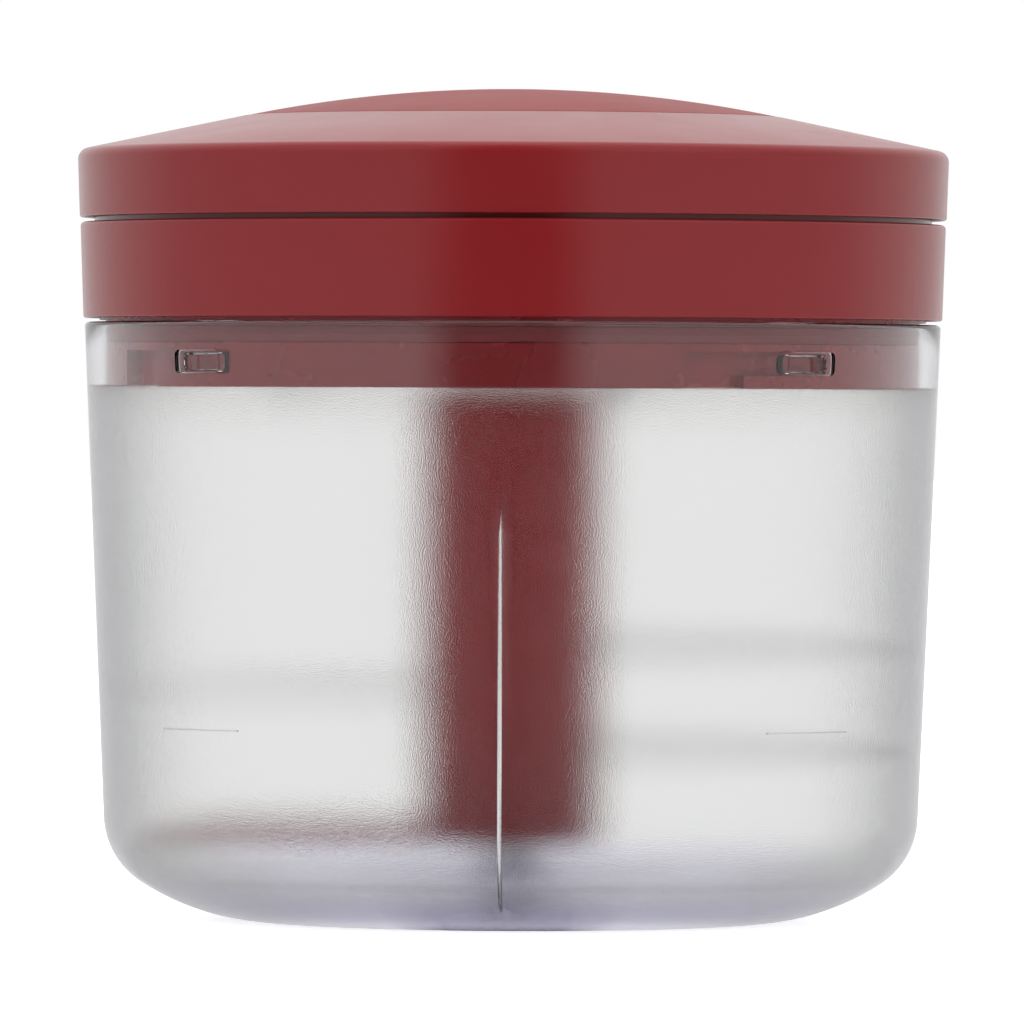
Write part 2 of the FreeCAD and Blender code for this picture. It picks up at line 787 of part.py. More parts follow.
def make_plunger_cap():
    """The domed cap with a seat for the palm disc, its bearing tube and screw bosses."""
    edge = disc_radius + disc_gap
    seat = crease_height - disc_thickness - disc_seam
    under = seat - cap_wall
    inner = edge + cap_wall
    side = cap_bottom_radius - cap_wall
    cap = revolved([(side, cap_bottom), (cap_bottom_radius, cap_bottom)]
                   + cap_shoulder()
                   + [(edge, crease_height), (edge, seat), (0, seat), (0, under), (inner, under),
                      (inner, cone_height(inner) - cap_wall), (side, cone_height(side) - cap_wall)])
    tube = disc(disc_stub_radius + running_gap + stub_tube_wall, seat - cap_wall / 2,
                recess_height() - disc_seam)
    boss = Part.makeCylinder(screw_radius + screw_boss_wall,
                             cone_height(frame_screw_circle) - cap_wall / 2 - frame_top,
                             Vector(frame_screw_circle, 0, frame_top))
    bosses = spread(boss, frame_screw_count, 180.0 / frame_screw_count)
    cap = cap.fuse([tube] + bosses).removeSplitter()
    bore = disc(disc_stub_radius + running_gap, under, recess_height())
    return cap.cut([bore] + peg_slots(under, crease_height) + make_frame_screws())


def make_palm_disc():
    """The matte centre of the cap, with a stub to turn on and pegs to the lock ring."""
    rim = crease_height - disc_thickness
    recess = recess_height()
    plate = revolved(dome(disc_radius, 0, dome_bands)
                     + [(0, recess), (disc_recess_radius, recess), (disc_recess_radius, rim),
                        (disc_radius, rim)])
    stub = disc(disc_stub_radius, rim - disc_seam - cap_wall / 2, recess + disc_thickness / 2)
    peg = Part.makeCylinder(lock_peg_radius, rim + disc_thickness / 2 - lock_ring_top,
                            Vector(lock_peg_circle, 0, lock_ring_top))
    pegs = spread(peg, lock_count, lock_post_angle - 180.0 / lock_count)
    return plate.fuse([stub] + pegs).removeSplitter().cut(make_lock_screws())


def make_lock_ring():
    """The ring under the frame, with keyholes that pass or catch the lid's hooks."""
    plate = ring(lock_ring_inner, lock_ring_outer, lock_ring_bottom, lock_ring_top)
    play = math.degrees(lock_window_play / lock_post_inner)
    inner = lock_post_inner - lock_window_play
    outer = lock_post_inner + lock_post_wall + lock_window_play
    narrow = sector(inner, outer, lock_ring_bottom, lock_ring_top,
                    lock_post_angle - lock_angle / 2, lock_angle + lock_post_width + 2 * play)
    wide = sector(inner, outer + lock_hook_reach, lock_ring_bottom, lock_ring_top,
                  lock_post_angle, lock_post_width + 2 * play)
    keyhole = narrow.fuse(wide).removeSplitter()
    return plate.cut(spread(keyhole, lock_count) + make_lock_screws())


def make_lock_screws():
    """The screws that hold the lock ring to the palm disc's pegs."""
    one = screw(lock_ring_bottom, True, lock_ring_thickness + screw_bite)
    one.translate(Vector(lock_peg_circle, 0, 0))
    return spread(one, lock_count, lock_post_angle - 180.0 / lock_count)


def main():
    """Build every piece and write one file each."""
    return_spring, return_gap = make_return_spring()
    ratchet_spring, ratchet_spring_gap = make_ratchet_spring()
    print("least gap of return spring", round(return_gap, 3))
    print("least gap of ratchet spring", round(ratchet_spring_gap, 3))
    pieces = {
        "bowl": make_bowl(),
        "pivot_pin": make_pin(),
        "column_bush": make_bush(),
        "blade_column": make_column(),
        "blade_lower": make_blade_lower(),
        "blade_middle": make_blade_middle(),
        "blade_upper": make_blade_upper(),
        "mixing_paddle": make_paddle(),
        "drive_socket": make_drive_socket(),
        "lid_seal": make_seal(),
        "lid_body": make_lid_body(),
        "lid_band": make_lid_band(),
        "bearing_plate": make_bearing_plate(),
        "plate_screws": Part.makeCompound(make_plate_screws()),
        "drive_hub": make_drive_hub(),
        "drive_nut": make_drive_nut(),
        "ratchet_spring": ratchet_spring,
        "drive_rod": make_drive_rod(),
        "rod_screw": make_rod_screw(),
        "plunger_frame": make_plunger_frame(),
        "return_spring": return_spring,
        "frame_screws": Part.makeCompound(make_frame_screws()),
        "plunger_cap": make_plunger_cap(),
        "palm_disc": make_palm_disc(),
        "lock_ring": make_lock_ring(),
        "lock_screws": Part.makeCompound(make_lock_screws()),
    }
    for name, shape in pieces.items():
        shape.exportStep("parts/" + name + ".step")


main()
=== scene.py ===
"""Press-down food chopper: the looks of the bowl, the two-tier red lid and the blade unit."""
import math

import bmesh
import bpy
from bpy.props import FloatProperty, FloatVectorProperty, IntProperty, PointerProperty
from bpy.types import Operator, Panel, PropertyGroup
from mathutils import Matrix, Vector


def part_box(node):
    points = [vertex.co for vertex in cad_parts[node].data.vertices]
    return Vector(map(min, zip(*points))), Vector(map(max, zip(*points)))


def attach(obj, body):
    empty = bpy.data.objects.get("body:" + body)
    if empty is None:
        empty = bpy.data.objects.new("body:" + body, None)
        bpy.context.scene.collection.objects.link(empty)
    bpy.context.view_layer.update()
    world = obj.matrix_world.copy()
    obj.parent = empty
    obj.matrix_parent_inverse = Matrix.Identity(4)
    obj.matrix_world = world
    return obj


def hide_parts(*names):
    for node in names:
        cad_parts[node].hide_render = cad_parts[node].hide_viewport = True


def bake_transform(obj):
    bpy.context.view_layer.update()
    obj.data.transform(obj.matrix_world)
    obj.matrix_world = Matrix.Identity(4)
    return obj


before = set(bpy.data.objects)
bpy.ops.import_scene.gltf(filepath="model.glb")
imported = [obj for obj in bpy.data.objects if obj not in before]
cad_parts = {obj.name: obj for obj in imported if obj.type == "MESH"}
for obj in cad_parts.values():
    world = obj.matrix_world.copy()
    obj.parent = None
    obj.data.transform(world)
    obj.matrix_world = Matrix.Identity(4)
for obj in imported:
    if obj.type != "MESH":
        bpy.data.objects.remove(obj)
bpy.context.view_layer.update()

bl_info = {
    "name": "Press-down Food Chopper",
    "version": (1, 0, 0),
    "blender": (4, 5, 0),
    "location": "3D Viewport > Sidebar > Chopper",
    "description": "Builds the bowl, lid and blade unit of a press-down food chopper",
    "category": "Add Mesh",
}

MM = 0.001
PHOTO_PIXELS = 1024
SENSOR_WIDTH = 36.0
PEG_COUNT = 3
VIEW_END = 60.0
FLOOR_HALF_WIDTH = 12.0

# Angles about the upright axis, in degrees.
LUG_ANGLES = (-135.0, -45.0, 45.0, 135.0)
LUG_HALF_ANGLE = 4.5
LUG_ROOM = 10.0
MARK_ANGLES = (-146.0, -50.0)
MARK_SPAN = 16.0
PEGS_FIRST = 30.0
WINDOW_ANGLES = (45.0, 165.0, 285.0)
WINDOW_HALF_ANGLE = 23.0
RIB_ANGLES = (45.0, 135.0, 225.0, 315.0)

# Ranges in which the clear plastic's darker violet runs out: by height, and by how far it is seen
# flat on. This violet is partly the plastic's own tint and partly painted shade on the foot and
# on walls seen edge-on.
FOOT_TINT_AND_SHADE_HEIGHTS = (2 * MM, 7 * MM)
EDGE_ON = (0.5, 0.95)

# Ranges of the studio's soft changes: by turn from the front, by height and by distance.
FRONT_TURN = (math.radians(12), math.radians(24))
BACK_TURN = (math.radians(96), math.radians(116))
OVERHEAD = (0.25, 0.75)
FLOOR_NEAR = (0.15, 0.45)

PLASTIC_IOR = 1.5
# Colour, roughness from and to, grain size and strength, and darkest shade of each plastic.
PLASTICS = {"lid_red_gloss": ("lid_red", 0.16, 0.24, 900.0, 0.02, 0.9),
            "disc_red_matte": ("disc_red", 0.40, 0.48, 1500.0, 0.16, 0.9),
            # Painted light: the next red is set lighter than the lid's red, for the pieces behind
            # the clear wall.
            "column_red": ("column_red", 0.22, 0.32, 900.0, 0.04, 0.9),
            "inner_white": ("inner_white", 0.38, 0.5, 1100.0, 0.05, 0.94),
            "seal_red": ("seal_red", 0.5, 0.62, 1200.0, 0.06, 0.9)}
# Roughness from and to, grain size and strength, and edge-on darkening of the bowl's faces,
# partly own tint and partly
# painted shade: the polished outside, the frosted inside and the clear inside above the frosting.
CLEAR_FACES = {"bowl_outer_gloss": (0.03, 0.06, 500.0, 0.01, 0.6),
               "bowl_inner_frost": (0.077, 0.088, 5000.0, 0.26, 0.0),
               "bowl_inner_gloss": (0.03, 0.06, 500.0, 0.01, 0.0)}
# Places of the two inside faces in that list.
FROSTED, CLEAR = 1, 2
# Size of the brushed lines, and roughness from and to, of each steel.
STEELS = {"spring_wire": (700.0, 0.22, 0.34), "screw_steel": (1200.0, 0.22, 0.36),
          "blade_steel_ground": (900.0, 0.42, 0.56), "turned_steel": (1000.0, 0.24, 0.38)}
STEEL_SHADE, STEEL_STRENGTH = 0.82, 0.08
# Depth of the grain on the plastics, on the steels and on the clear bowl.
PLASTIC_GRAIN, STEEL_GRAIN, CLEAR_GRAIN = 0.1 * MM, 0.05 * MM, 0.2 * MM

# Angles between two faces from which the edge between them is rounded.
SHARP_CORNER, SHARP_RIM = math.radians(60), math.radians(45)
# Distances within which a point counts as lying on a line, and two points as one.
TINY = MM / 100
MERGE = MM / 1000

# Name, power setting, width and place of each lamp.
LAMPS = (("lamp_left", "side_power", 0.8, (-1.1, -0.9, 0.9)),
         ("lamp_right", "side_power", 0.8, (1.1, -0.9, 0.9)),
         ("lamp_above", "top_power", 1.0, (0, 0.2, 1.5)))
LAMP_AIM = (0, 0, 0.07)


def reach(node):
    """Return a round node's outer radius in metres."""
    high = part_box(node)[1]
    return max(high.x, high.y)


def top(node):
    """Return a node's highest point in metres."""
    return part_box(node)[1].z


def bottom(node):
    """Return a node's lowest point in metres."""
    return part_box(node)[0].z


def length(name, millimetres, description):
    """Return a length property in metres, from a default in millimetres."""
    return FloatProperty(name=name, default=millimetres * MM, min=0.0, precision=5,
                         unit="LENGTH", description=description)


def colour(name, default, description):
    """Return a colour property."""
    return FloatVectorProperty(name=name, default=default, size=4, subtype="COLOR",
                               min=0.0, max=1.0, description=description)


def light(name, default, description, **options):
    """Return a property of light. As a brightness, 1 is white."""
    return FloatProperty(name=name, default=default, min=0.0, description=description, **options)


class CHOPPER_PG_bowl(PropertyGroup):
    """Sizes of the clear bowl."""
    height: length("Height", top("bowl") / MM, "Height of the rim")
    mouth_radius: length("Mouth radius", 64.3, "Outer radius at the rim")
    side_radius: length("Side radius", 61.2, "Outer radius at the foot of the side")
    side_start: length("Side start", 16.0, "Height where the rounded corner ends")
    foot_radius: length("Foot radius", 36.0, "Outer radius of the flat foot")
    foot_width: length("Foot width", 6.0, "Width of the foot ring")
    foot_recess: length("Foot recess", 0.8, "Depth of the recess under the bowl")
    sweep_radius: length("Sweep radius", 36.0, "Radius of the sweep beside the foot")
    wall: length("Wall", 2.4, "Wall thickness")
    rim_rounding: length("Rim rounding", 0.6, "Radius of the rim's edges")
    frost_top: length("Frost top", 80.4, "Height where the frosting ends inside")
    boss_radius: length("Boss radius", 6.0, "Radius of the boss round the pin")
    boss_top: length("Boss top", 9.5, "Height of the boss")
    fin_top: length("Fin top", 63.0, "Height of the inner fins' upper ends")
    fin_depth: length("Fin depth", 0.22, "How far the fins stand in")
    fin_taper: length("Fin taper", 4.0, "Length in which a fin runs out at its ends")
    fin_width: length("Fin width", 0.6, "Width of a fin")
    lug_low: length("Lug low", 82.3, "Lower face of the bayonet lugs")
    lug_high: length("Lug high", 85.2, "Upper face of the bayonet lugs")
    lug_radius: length("Lug radius", 60.0, "Inner radius of the lugs")
    lug_corner: length("Lug corner", 0.9, "Rounding of a lug's outline")
    lug_edge: length("Lug edge", 0.35, "Rounding of a lug's edges")
    pocket_depth: length("Pocket depth", 0.6, "Depth of the pockets behind the lugs")
    pocket_margin: length("Pocket margin", 0.3, "How far a pocket reaches past its lug")
    mark_height: length("Mark height", 29.6, "Height of the fill marks")
    mark_line: length("Mark line", 0.22, "Width of a fill mark's line")
    segments: IntProperty(name="Segments", default=168, min=56, step=56,
                          description="Faces round the bowl")


class CHOPPER_PG_lid(PropertyGroup):
    """Sizes of the lid band, the cap and the palm disc."""
    band_foot_radius: length("Band foot radius", 64.5, "Radius at the band's lower edge")
    band_wall: length("Band wall", 2.2, "Thickness of the band")
    band_lip: length("Band lip", 58.2, "Inner radius of the band's top")
    lip_gap: length("Lip gap", 0.2, "Gap between the cap's wall and the lip inside it")
    lip_width: length("Lip width", 1.2, "Width of the lip inside the cap")
    lip_height: length("Lip height", 1.6, "Height of the lip inside the cap")
    edge_rounding: length("Edge rounding", 0.6, "Radius of the lid's small edges")
    cap_foot_radius: length("Cap foot radius", 65.1, "Radius at the cap's lower edge")
    cap_radius: length("Cap radius", 65.45, "Radius where the side meets the slope")
    cap_shoulder: length("Cap shoulder", 115.6, "Height where the side meets the slope")
    cap_corner: length("Cap corner", 1.7, "Rounding of the cap's shoulder")
    cap_wall: length("Cap wall", 2.0, "Thickness of the cap")
    crease: length("Crease", 120.9, "Height of the crease round the palm disc")
    disc_radius: length("Disc radius", 40.0, "Radius of the palm disc")
    disc_gap: length("Disc gap", 0.3, "Gap round the palm disc")
    disc_crown: length("Disc crown", 4.1, "Rise of the palm disc")
    disc_thickness: length("Disc thickness", 2.2, "Thickness of the palm disc")
    disc_recess: length("Disc recess", 27.0, "Radius of the hollow under the palm disc")
    peg_circle: length("Peg circle", 30.5, "Radius of the circle of the lock pegs")
    peg_radius: length("Peg radius", 3.0, "Radius of a lock peg")
    peg_root: length("Peg root", 0.4, "How far a peg reaches into the disc")
    window_half: length("Window half width", 4.0, "Half the width of a peg's window")
    stub_radius: length("Stub radius", 5.0, "Radius of the disc's bearing stub")
    stub_gap: length("Stub gap", 0.08, "Gap round the stub")
    tube_wall: length("Tube wall", 2.4, "Wall of the tube round the stub")
    segments: IntProperty(name="Segments", default=180, min=36, step=36,
                          description="Faces round the lid")


class CHOPPER_PG_finish(PropertyGroup):
    """Colours of the plastics, the steel and the seal."""
    lid_red: colour("Lid red", (0.170, 0.0075, 0.0095, 1), "Glossy red of the lid")
    disc_red: colour("Disc red", (0.165, 0.0080, 0.0085, 1), "Matte red of the palm disc")
    # Painted light: this red is a lighter red than the lid's, for the column, the paddle and the
    # lid's inner body behind the clear wall.
    column_red: colour("Column red", (0.185, 0.009, 0.013, 1), "Red of the column")
    bowl_tint: colour("Bowl tint", (0.905, 0.908, 0.902, 1), "Tint of the clear bowl")
    # The foot's darker violet is partly the plastic's own tint and partly painted shade; it is
    # also laid where the wall is seen edge-on.
    foot_tint_and_shade: colour("Foot tint", (0.60, 0.575, 0.78, 1), "Tint of the bowl's thick foot")
    inner_white: colour("Inner white", (0.74, 0.73, 0.70, 1), "White of the inner pieces")
    steel: colour("Steel", (0.72, 0.72, 0.73, 1), "Colour of the steel pieces")
    seal_red: colour("Seal red", (0.16, 0.010, 0.014, 1), "Red of the soft seal")
    floor: colour("Floor", (0.90, 0.90, 0.90, 1), "Colour of the floor")


class CHOPPER_PG_stage(PropertyGroup):
    """Place of the camera and strength of the lamps."""
    camera_distance: length("Camera distance", 1900.0, "Distance from the bowl's axis")
    camera_height: length("Camera height", 77.1, "Height of the camera")
    aim_height: length("Aim height", 61.5, "Height that the camera looks at")
    photo_scale: length("Photo scale", 0.1503, "Width of one pixel at the bowl's axis")
    camera_turn: FloatProperty(name="Camera turn", default=math.radians(1.6),
                               subtype="ANGLE", description="Camera's turn to the right")
    camera_roll: FloatProperty(name="Camera roll", default=math.radians(0.25),
                               subtype="ANGLE", description="Lean of the camera")
    side_power: light("Side lamps", 9.0, "Power of each side lamp", unit="POWER")
    top_power: light("Top lamp", 22.0, "Power of the lamp above", unit="POWER")
    ambient: light("Ambient", 0.55, "Even light from all round")
    ambient_inside: light("Ambient inside", 1.8, "Even light behind the clear wall")
    front: light("Front", 0.0, "Brightness of the room behind the camera")
    back: light("Back", 0.78, "Brightness of the backdrop in reflections")
    side: light("Side boxes", 0.62, "Brightness of the soft boxes in reflections")
    guided: light("Guided", 0.95, "Brightness at the end of light guided in the clear wall")
    above: light("Above", 0.2, "Brightness overhead in reflections")
    floor_glow: light("Floor glow", 0.75, "Share of the floor's white that needs no lamp")


def arc(centre_r, centre_z, radius, start, end, steps):
    """Return points of an arc in a profile. Angles are in degrees from the outward axis."""
    points = []
    for n in range(steps + 1):
        angle = math.radians(start + (end - start) * n / steps)
        points.append((centre_r + radius * math.cos(angle), centre_z + radius * math.sin(angle)))
    return points


def rounded(previous, corner, following, radius, steps=5):
    """Return the points that round a corner of a profile."""
    here = Vector(corner)
    back = (Vector(previous) - here).normalized()
    ahead = (Vector(following) - here).normalized()
    half = back.angle(ahead) / 2
    start = here + back * (radius / math.tan(half))
    end = here + ahead * (radius / math.tan(half))
    centre = here + (back + ahead).normalized() * (radius / math.sin(half))
    points = []
    for n in range(steps + 1):
        share = n / steps
        spoke = start.lerp(end, share) - centre
        points.append(tuple(centre + spoke.normalized() * radius))
    return points


def spun(profile, segments, closed=True):
    """Spin a profile of radius and height about the upright axis into a bmesh."""
    mesh = bmesh.new()
    verts = [mesh.verts.new((r, 0.0, z)) for r, z in profile]
    pairs = list(zip(verts, verts[1:]))
    if closed:
        pairs.append((verts[-1], verts[0]))
    edges = [mesh.edges.new(pair) for pair in pairs]
    bmesh.ops.spin(mesh, geom=verts + edges, cent=(0, 0, 0), axis=(0, 0, 1),
                   angle=math.tau, steps=segments, use_merge=True)
    bmesh.ops.remove_doubles(mesh, verts=mesh.verts, dist=MERGE)
    bmesh.ops.dissolve_degenerate(mesh, edges=mesh.edges, dist=MERGE)
    bmesh.ops.recalc_face_normals(mesh, faces=mesh.faces)
    return mesh


def finished(name, mesh, materials, body, replaced=(), sharp=30.0):
    """Make an object of a bmesh, with its materials, replaced nodes and any one body."""
    data = bpy.data.meshes.new(name)
    mesh.to_mesh(data)
    mesh.free()
    piece = bpy.data.objects.new(name, data)
    bpy.context.scene.collection.objects.link(piece)
    for material in materials:
        data.materials.append(material)
    data.shade_smooth()
    data.set_sharp_from_angle(angle=math.radians(sharp))
    if body:
        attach(piece, body)
    if replaced:
        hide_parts(*replaced)
    return piece


def from_axis(point):
    """Return the level distance of a point from the axis."""
    return math.hypot(point.x, point.y)


def azimuth(point):
    """Return the angle of a point about the axis, in degrees."""
    return math.degrees(math.atan2(point.y, point.x))


def outward(point):
    """Return the level direction from the axis to a point."""
    return Vector((point.x, point.y, 0.0)).normalized()


def angle_between(first, second):
    """Return the smallest difference of two angles in degrees."""
    return abs((first - second + 180.0) % 360.0 - 180.0)


def around(radius, count, first):
    """Return evenly spaced places on a circle about the axis."""
    places = []
    for n in range(count):
        turn = math.radians(first + 360.0 * n / count)
        places.append((radius * math.cos(turn), radius * math.sin(turn)))
    return places


def round_off(mesh, edges, offset, segments, **options):
    """Round edges of a bmesh, and return what the bevel made."""
    return bmesh.ops.bevel(mesh, geom=edges, offset=offset, segments=segments, affect="EDGES",
                           profile=0.5, material=-1, **options)


def add_cylinder(mesh, radius, low, high, place, segments=32):
    """Add a closed upright cylinder to a bmesh."""
    matrix = Matrix.Translation((place[0], place[1], (low + high) / 2))
    bmesh.ops.create_cone(mesh, cap_ends=True, segments=segments, radius1=radius,
                          radius2=radius, depth=high - low, matrix=matrix)


def new_group(name, inputs, outputs):
    """Return an empty shader group with float inputs and named outputs."""
    group = bpy.data.node_groups.new(name, "ShaderNodeTree")
    for label, value in inputs:
        socket = group.interface.new_socket(label, in_out="INPUT",
                                            socket_type="NodeSocketFloat")
        socket.default_value = value
    for label in outputs:
        group.interface.new_socket(label, in_out="OUTPUT", socket_type="NodeSocketFloat")
    return group, group.nodes.new("NodeGroupInput"), group.nodes.new("NodeGroupOutput")


def add_node(tree, kind, **values):
    """Add a node to a tree, with values on the sockets they are named after."""
    node = tree.nodes.new("ShaderNode" + kind)
    set_values(node, values)
    return node


def set_values(node, values):
    """Set a node's sockets by their names, written with underscores."""
    for label, value in values.items():
        node.inputs[label.replace("_", " ").title()].default_value = value


def link_all(tree, *links):
    """Link each node's named output to another node's named input."""
    for source, output, target, entry in links:
        tree.links.new(source.outputs[output], target.inputs[entry])


def ramp(tree, value, low, high, start, end):
    """Map a value from one range onto another, held at its ends."""
    node = tree.nodes.new("ShaderNodeMapRange")
    for label, number in (("From Min", low), ("From Max", high), ("To Min", start),
                          ("To Max", end)):
        node.inputs[label].default_value = number
    tree.links.new(value, node.inputs["Value"])
    return node.outputs["Result"]


def joined(tree, first, second, operation):
    """Join two values with an arithmetic node."""
    node = tree.nodes.new("ShaderNodeMath")
    node.operation = operation
    for socket, value in zip(node.inputs, (first, second)):
        if isinstance(value, float):
            socket.default_value = value
        else:
            tree.links.new(value, socket)
    return node.outputs["Value"]


def grain_group():
    """Return the group that gives a moulded surface its grain and uneven gloss."""
    name = "moulded_grain"
    if name in bpy.data.node_groups:
        return bpy.data.node_groups[name]
    group, entry, result = new_group(
        name, (("Grain Size", 1400.0), ("Cloud Size", 38.0), ("Low", 0.1), ("High", 0.2)),
        ("Roughness", "Height", "Cloud"))
    place = add_node(group, "TexCoord")
    grain = add_node(group, "TexNoise", detail=3.0)
    cloud = add_node(group, "TexNoise", detail=5.0, roughness=0.6)
    spread = add_node(group, "MapRange", from_min=0.3, from_max=0.7)
    link_all(group, (place, "Object", grain, "Vector"), (place, "Object", cloud, "Vector"),
             (entry, "Grain Size", grain, "Scale"), (entry, "Cloud Size", cloud, "Scale"),
             (cloud, "Fac", spread, "Value"), (entry, "Low", spread, "To Min"),
             (entry, "High", spread, "To Max"), (spread, "Result", result, "Roughness"),
             (grain, "Fac", result, "Height"), (cloud, "Fac", result, "Cloud"))
    return group


def brushed_group():
    """Return the group of fine lines that a belt leaves on steel."""
    name = "brushed_lines"
    if name in bpy.data.node_groups:
        return bpy.data.node_groups[name]
    group, entry, result = new_group(
        name, (("Line Size", 900.0), ("Low", 0.2), ("High", 0.4)), ("Roughness", "Height"))
    place = add_node(group, "TexCoord")
    stretch = add_node(group, "Mapping", scale=(1.0, 0.03, 1.0))
    lines = add_node(group, "TexNoise", detail=4.0)
    spread = add_node(group, "MapRange")
    link_all(group, (place, "Object", stretch, "Vector"), (stretch, "Vector", lines, "Vector"),
             (entry, "Line Size", lines, "Scale"), (lines, "Fac", spread, "Value"),
             (entry, "Low", spread, "To Min"), (entry, "High", spread, "To Max"),
             (spread, "Result", result, "Roughness"), (lines, "Fac", result, "Height"))
    return group


def place_group(tree, group, **values):
    """Put a group in a material's tree with its own values, and return the node."""
    node = tree.nodes.new("ShaderNodeGroup")
    node.node_tree = group
    set_values(node, values)
    return node


def new_material(name):
    """Return a new material, its node tree and its shader."""
    material = bpy.data.materials.new(name)
    material.use_nodes = True
    return material, material.node_tree, material.node_tree.nodes["Principled BSDF"]


def bumped(tree, height, strength, distance):
    """Join a height to a material's normal through a bump node."""
    bump = add_node(tree, "Bump", strength=strength, distance=distance)
    tree.links.new(height, bump.inputs["Height"])
    link_all(tree, (bump, "Normal", tree.nodes["Principled BSDF"], "Normal"))


def mixed(tree, first, second, factor):
    """Return a colour that a mask moves from the first to the second."""
    mix = tree.nodes.new("ShaderNodeMix")
    mix.data_type = "RGBA"
    mix.inputs["A"].default_value = first
    mix.inputs["B"].default_value = second
    tree.links.new(factor, mix.inputs["Factor"])
    return mix.outputs["Result"]


def shaded(tree, base, factor, darker):
    """Vary a base colour between itself and a darker shade by a mask."""
    shade = [channel * darker for channel in base[:3]] + [1.0]
    tree.links.new(mixed(tree, shade, base, factor),
                   tree.nodes["Principled BSDF"].inputs["Base Color"])


def plastic(name):
    """Return a moulded plastic with grain, uneven gloss and a slightly uneven colour."""
    if name in bpy.data.materials:
        return bpy.data.materials[name]
    setting, low, high, grain_size, strength, darkest = PLASTICS[name]
    material, tree, shader = new_material(name)
    shader.inputs["IOR"].default_value = PLASTIC_IOR
    grain = place_group(tree, grain_group(), grain_size=grain_size, low=low, high=high)
    link_all(tree, (grain, "Roughness", shader, "Roughness"))
    base = getattr(bpy.context.scene.chopper_finish, setting)
    shaded(tree, list(base), grain.outputs["Cloud"], darkest)
    bumped(tree, grain.outputs["Height"], strength, PLASTIC_GRAIN)
    return material


def steel(name):
    """Return a brushed steel."""
    if name in bpy.data.materials:
        return bpy.data.materials[name]
    line_size, low, high = STEELS[name]
    material, tree, shader = new_material(name)
    shader.inputs["Metallic"].default_value = 1.0
    lines = place_group(tree, brushed_group(), line_size=line_size, low=low, high=high)
    link_all(tree, (lines, "Roughness", shader, "Roughness"))
    base = bpy.context.scene.chopper_finish.steel
    shaded(tree, list(base), lines.outputs["Height"], STEEL_SHADE)
    bumped(tree, lines.outputs["Height"], STEEL_STRENGTH, STEEL_GRAIN)
    return material


def clear_plastic(name):
    """Return the bowl's clear plastic, darker violet in the foot and where seen edge-on: partly
    its own tint, partly painted shade.
    """
    if name in bpy.data.materials:
        return bpy.data.materials[name]
    low, high, grain_size, strength, edge_on_tint_and_shade = CLEAR_FACES[name]
    finish = bpy.context.scene.chopper_finish
    material, tree, shader = new_material(name)
    shader.inputs["Transmission Weight"].default_value = 1.0
    shader.inputs["IOR"].default_value = PLASTIC_IOR
    grain = place_group(tree, grain_group(), grain_size=grain_size, low=low, high=high)
    place = add_node(tree, "TexCoord")
    split = add_node(tree, "SeparateXYZ")
    edge = add_node(tree, "LayerWeight")
    link_all(tree, (grain, "Roughness", shader, "Roughness"), (place, "Object", split, "Vector"))
    # Painted shade: towards the foot and where the wall is seen edge-on, the colour turns the
    # darker violet, which is partly the plastic's own tint.
    above = ramp(tree, split.outputs["Z"], *FOOT_TINT_AND_SHADE_HEIGHTS, 0.0, 1.0)
    uneven = ramp(tree, grain.outputs["Cloud"], 0.0, 1.0, 0.96, 1.0)
    flat = ramp(tree, edge.outputs["Facing"], *EDGE_ON, 1.0, 1.0 - edge_on_tint_and_shade)
    clear = joined(tree, joined(tree, above, flat, "MULTIPLY"), uneven, "MULTIPLY")
    tree.links.new(mixed(tree, finish.foot_tint_and_shade, finish.bowl_tint, clear),
                   shader.inputs["Base Color"])
    bumped(tree, grain.outputs["Height"], strength, CLEAR_GRAIN)
    return material


def side_radius(size, height):
    """Return the outer radius of the bowl's straight side at a height."""
    share = (height - size.side_start) / (size.height - size.side_start)
    return size.side_radius + share * (size.mouth_radius - size.side_radius)


def curve_up(size, inset):
    """Return the profile from the foot, round the sweep and the corner, inset by a wall."""
    width = size.side_radius - size.foot_radius
    drop = size.sweep_radius - size.side_start
    corner = (size.sweep_radius ** 2 - width ** 2 - drop ** 2) / (2 * (size.sweep_radius - width))
    centre = size.side_radius - corner
    turn = math.degrees(math.atan2(-drop, centre - size.foot_radius))
    points = arc(size.foot_radius, size.sweep_radius, size.sweep_radius - inset, -90, turn, 12)
    return points + arc(centre, size.side_start, corner - inset, turn, 0, 10)[1:]


def bowl_profile(size):
    """Return the bowl's profile from under its middle, over the rim, to the pin's hole."""
    foot_inner = size.foot_radius - size.foot_width
    pin = reach("pivot_pin")
    outer = curve_up(size, 0)
    for height in (size.lug_low - size.pocket_margin, size.lug_high + size.pocket_margin):
        outer.append((side_radius(size, height), height))
    inner = curve_up(size, size.wall)
    for height in (size.fin_top - size.fin_taper, size.fin_top, size.frost_top, size.lug_low,
                   size.lug_high):
        inner.append((side_radius(size, height) - size.wall, height))
    mouth = size.mouth_radius
    rim = rounded(outer[-1], (mouth, size.height), (0, size.height), size.rim_rounding)
    rim += rounded((mouth, size.height), (mouth - size.wall, size.height), inner[-1],
                   size.rim_rounding)
    low = bottom("pivot_pin")
    boss = rounded((size.boss_radius, size.wall), (size.boss_radius, size.boss_top),
                   (pin, size.boss_top), size.rim_rounding)
    middle = [(size.boss_radius, size.wall)] + boss + [(pin, size.boss_top), (pin, low), (0, low)]
    return ([(0, size.foot_recess), (foot_inner, size.foot_recess), (foot_inner, 0)]
            + outer + rim + inner[::-1] + middle)


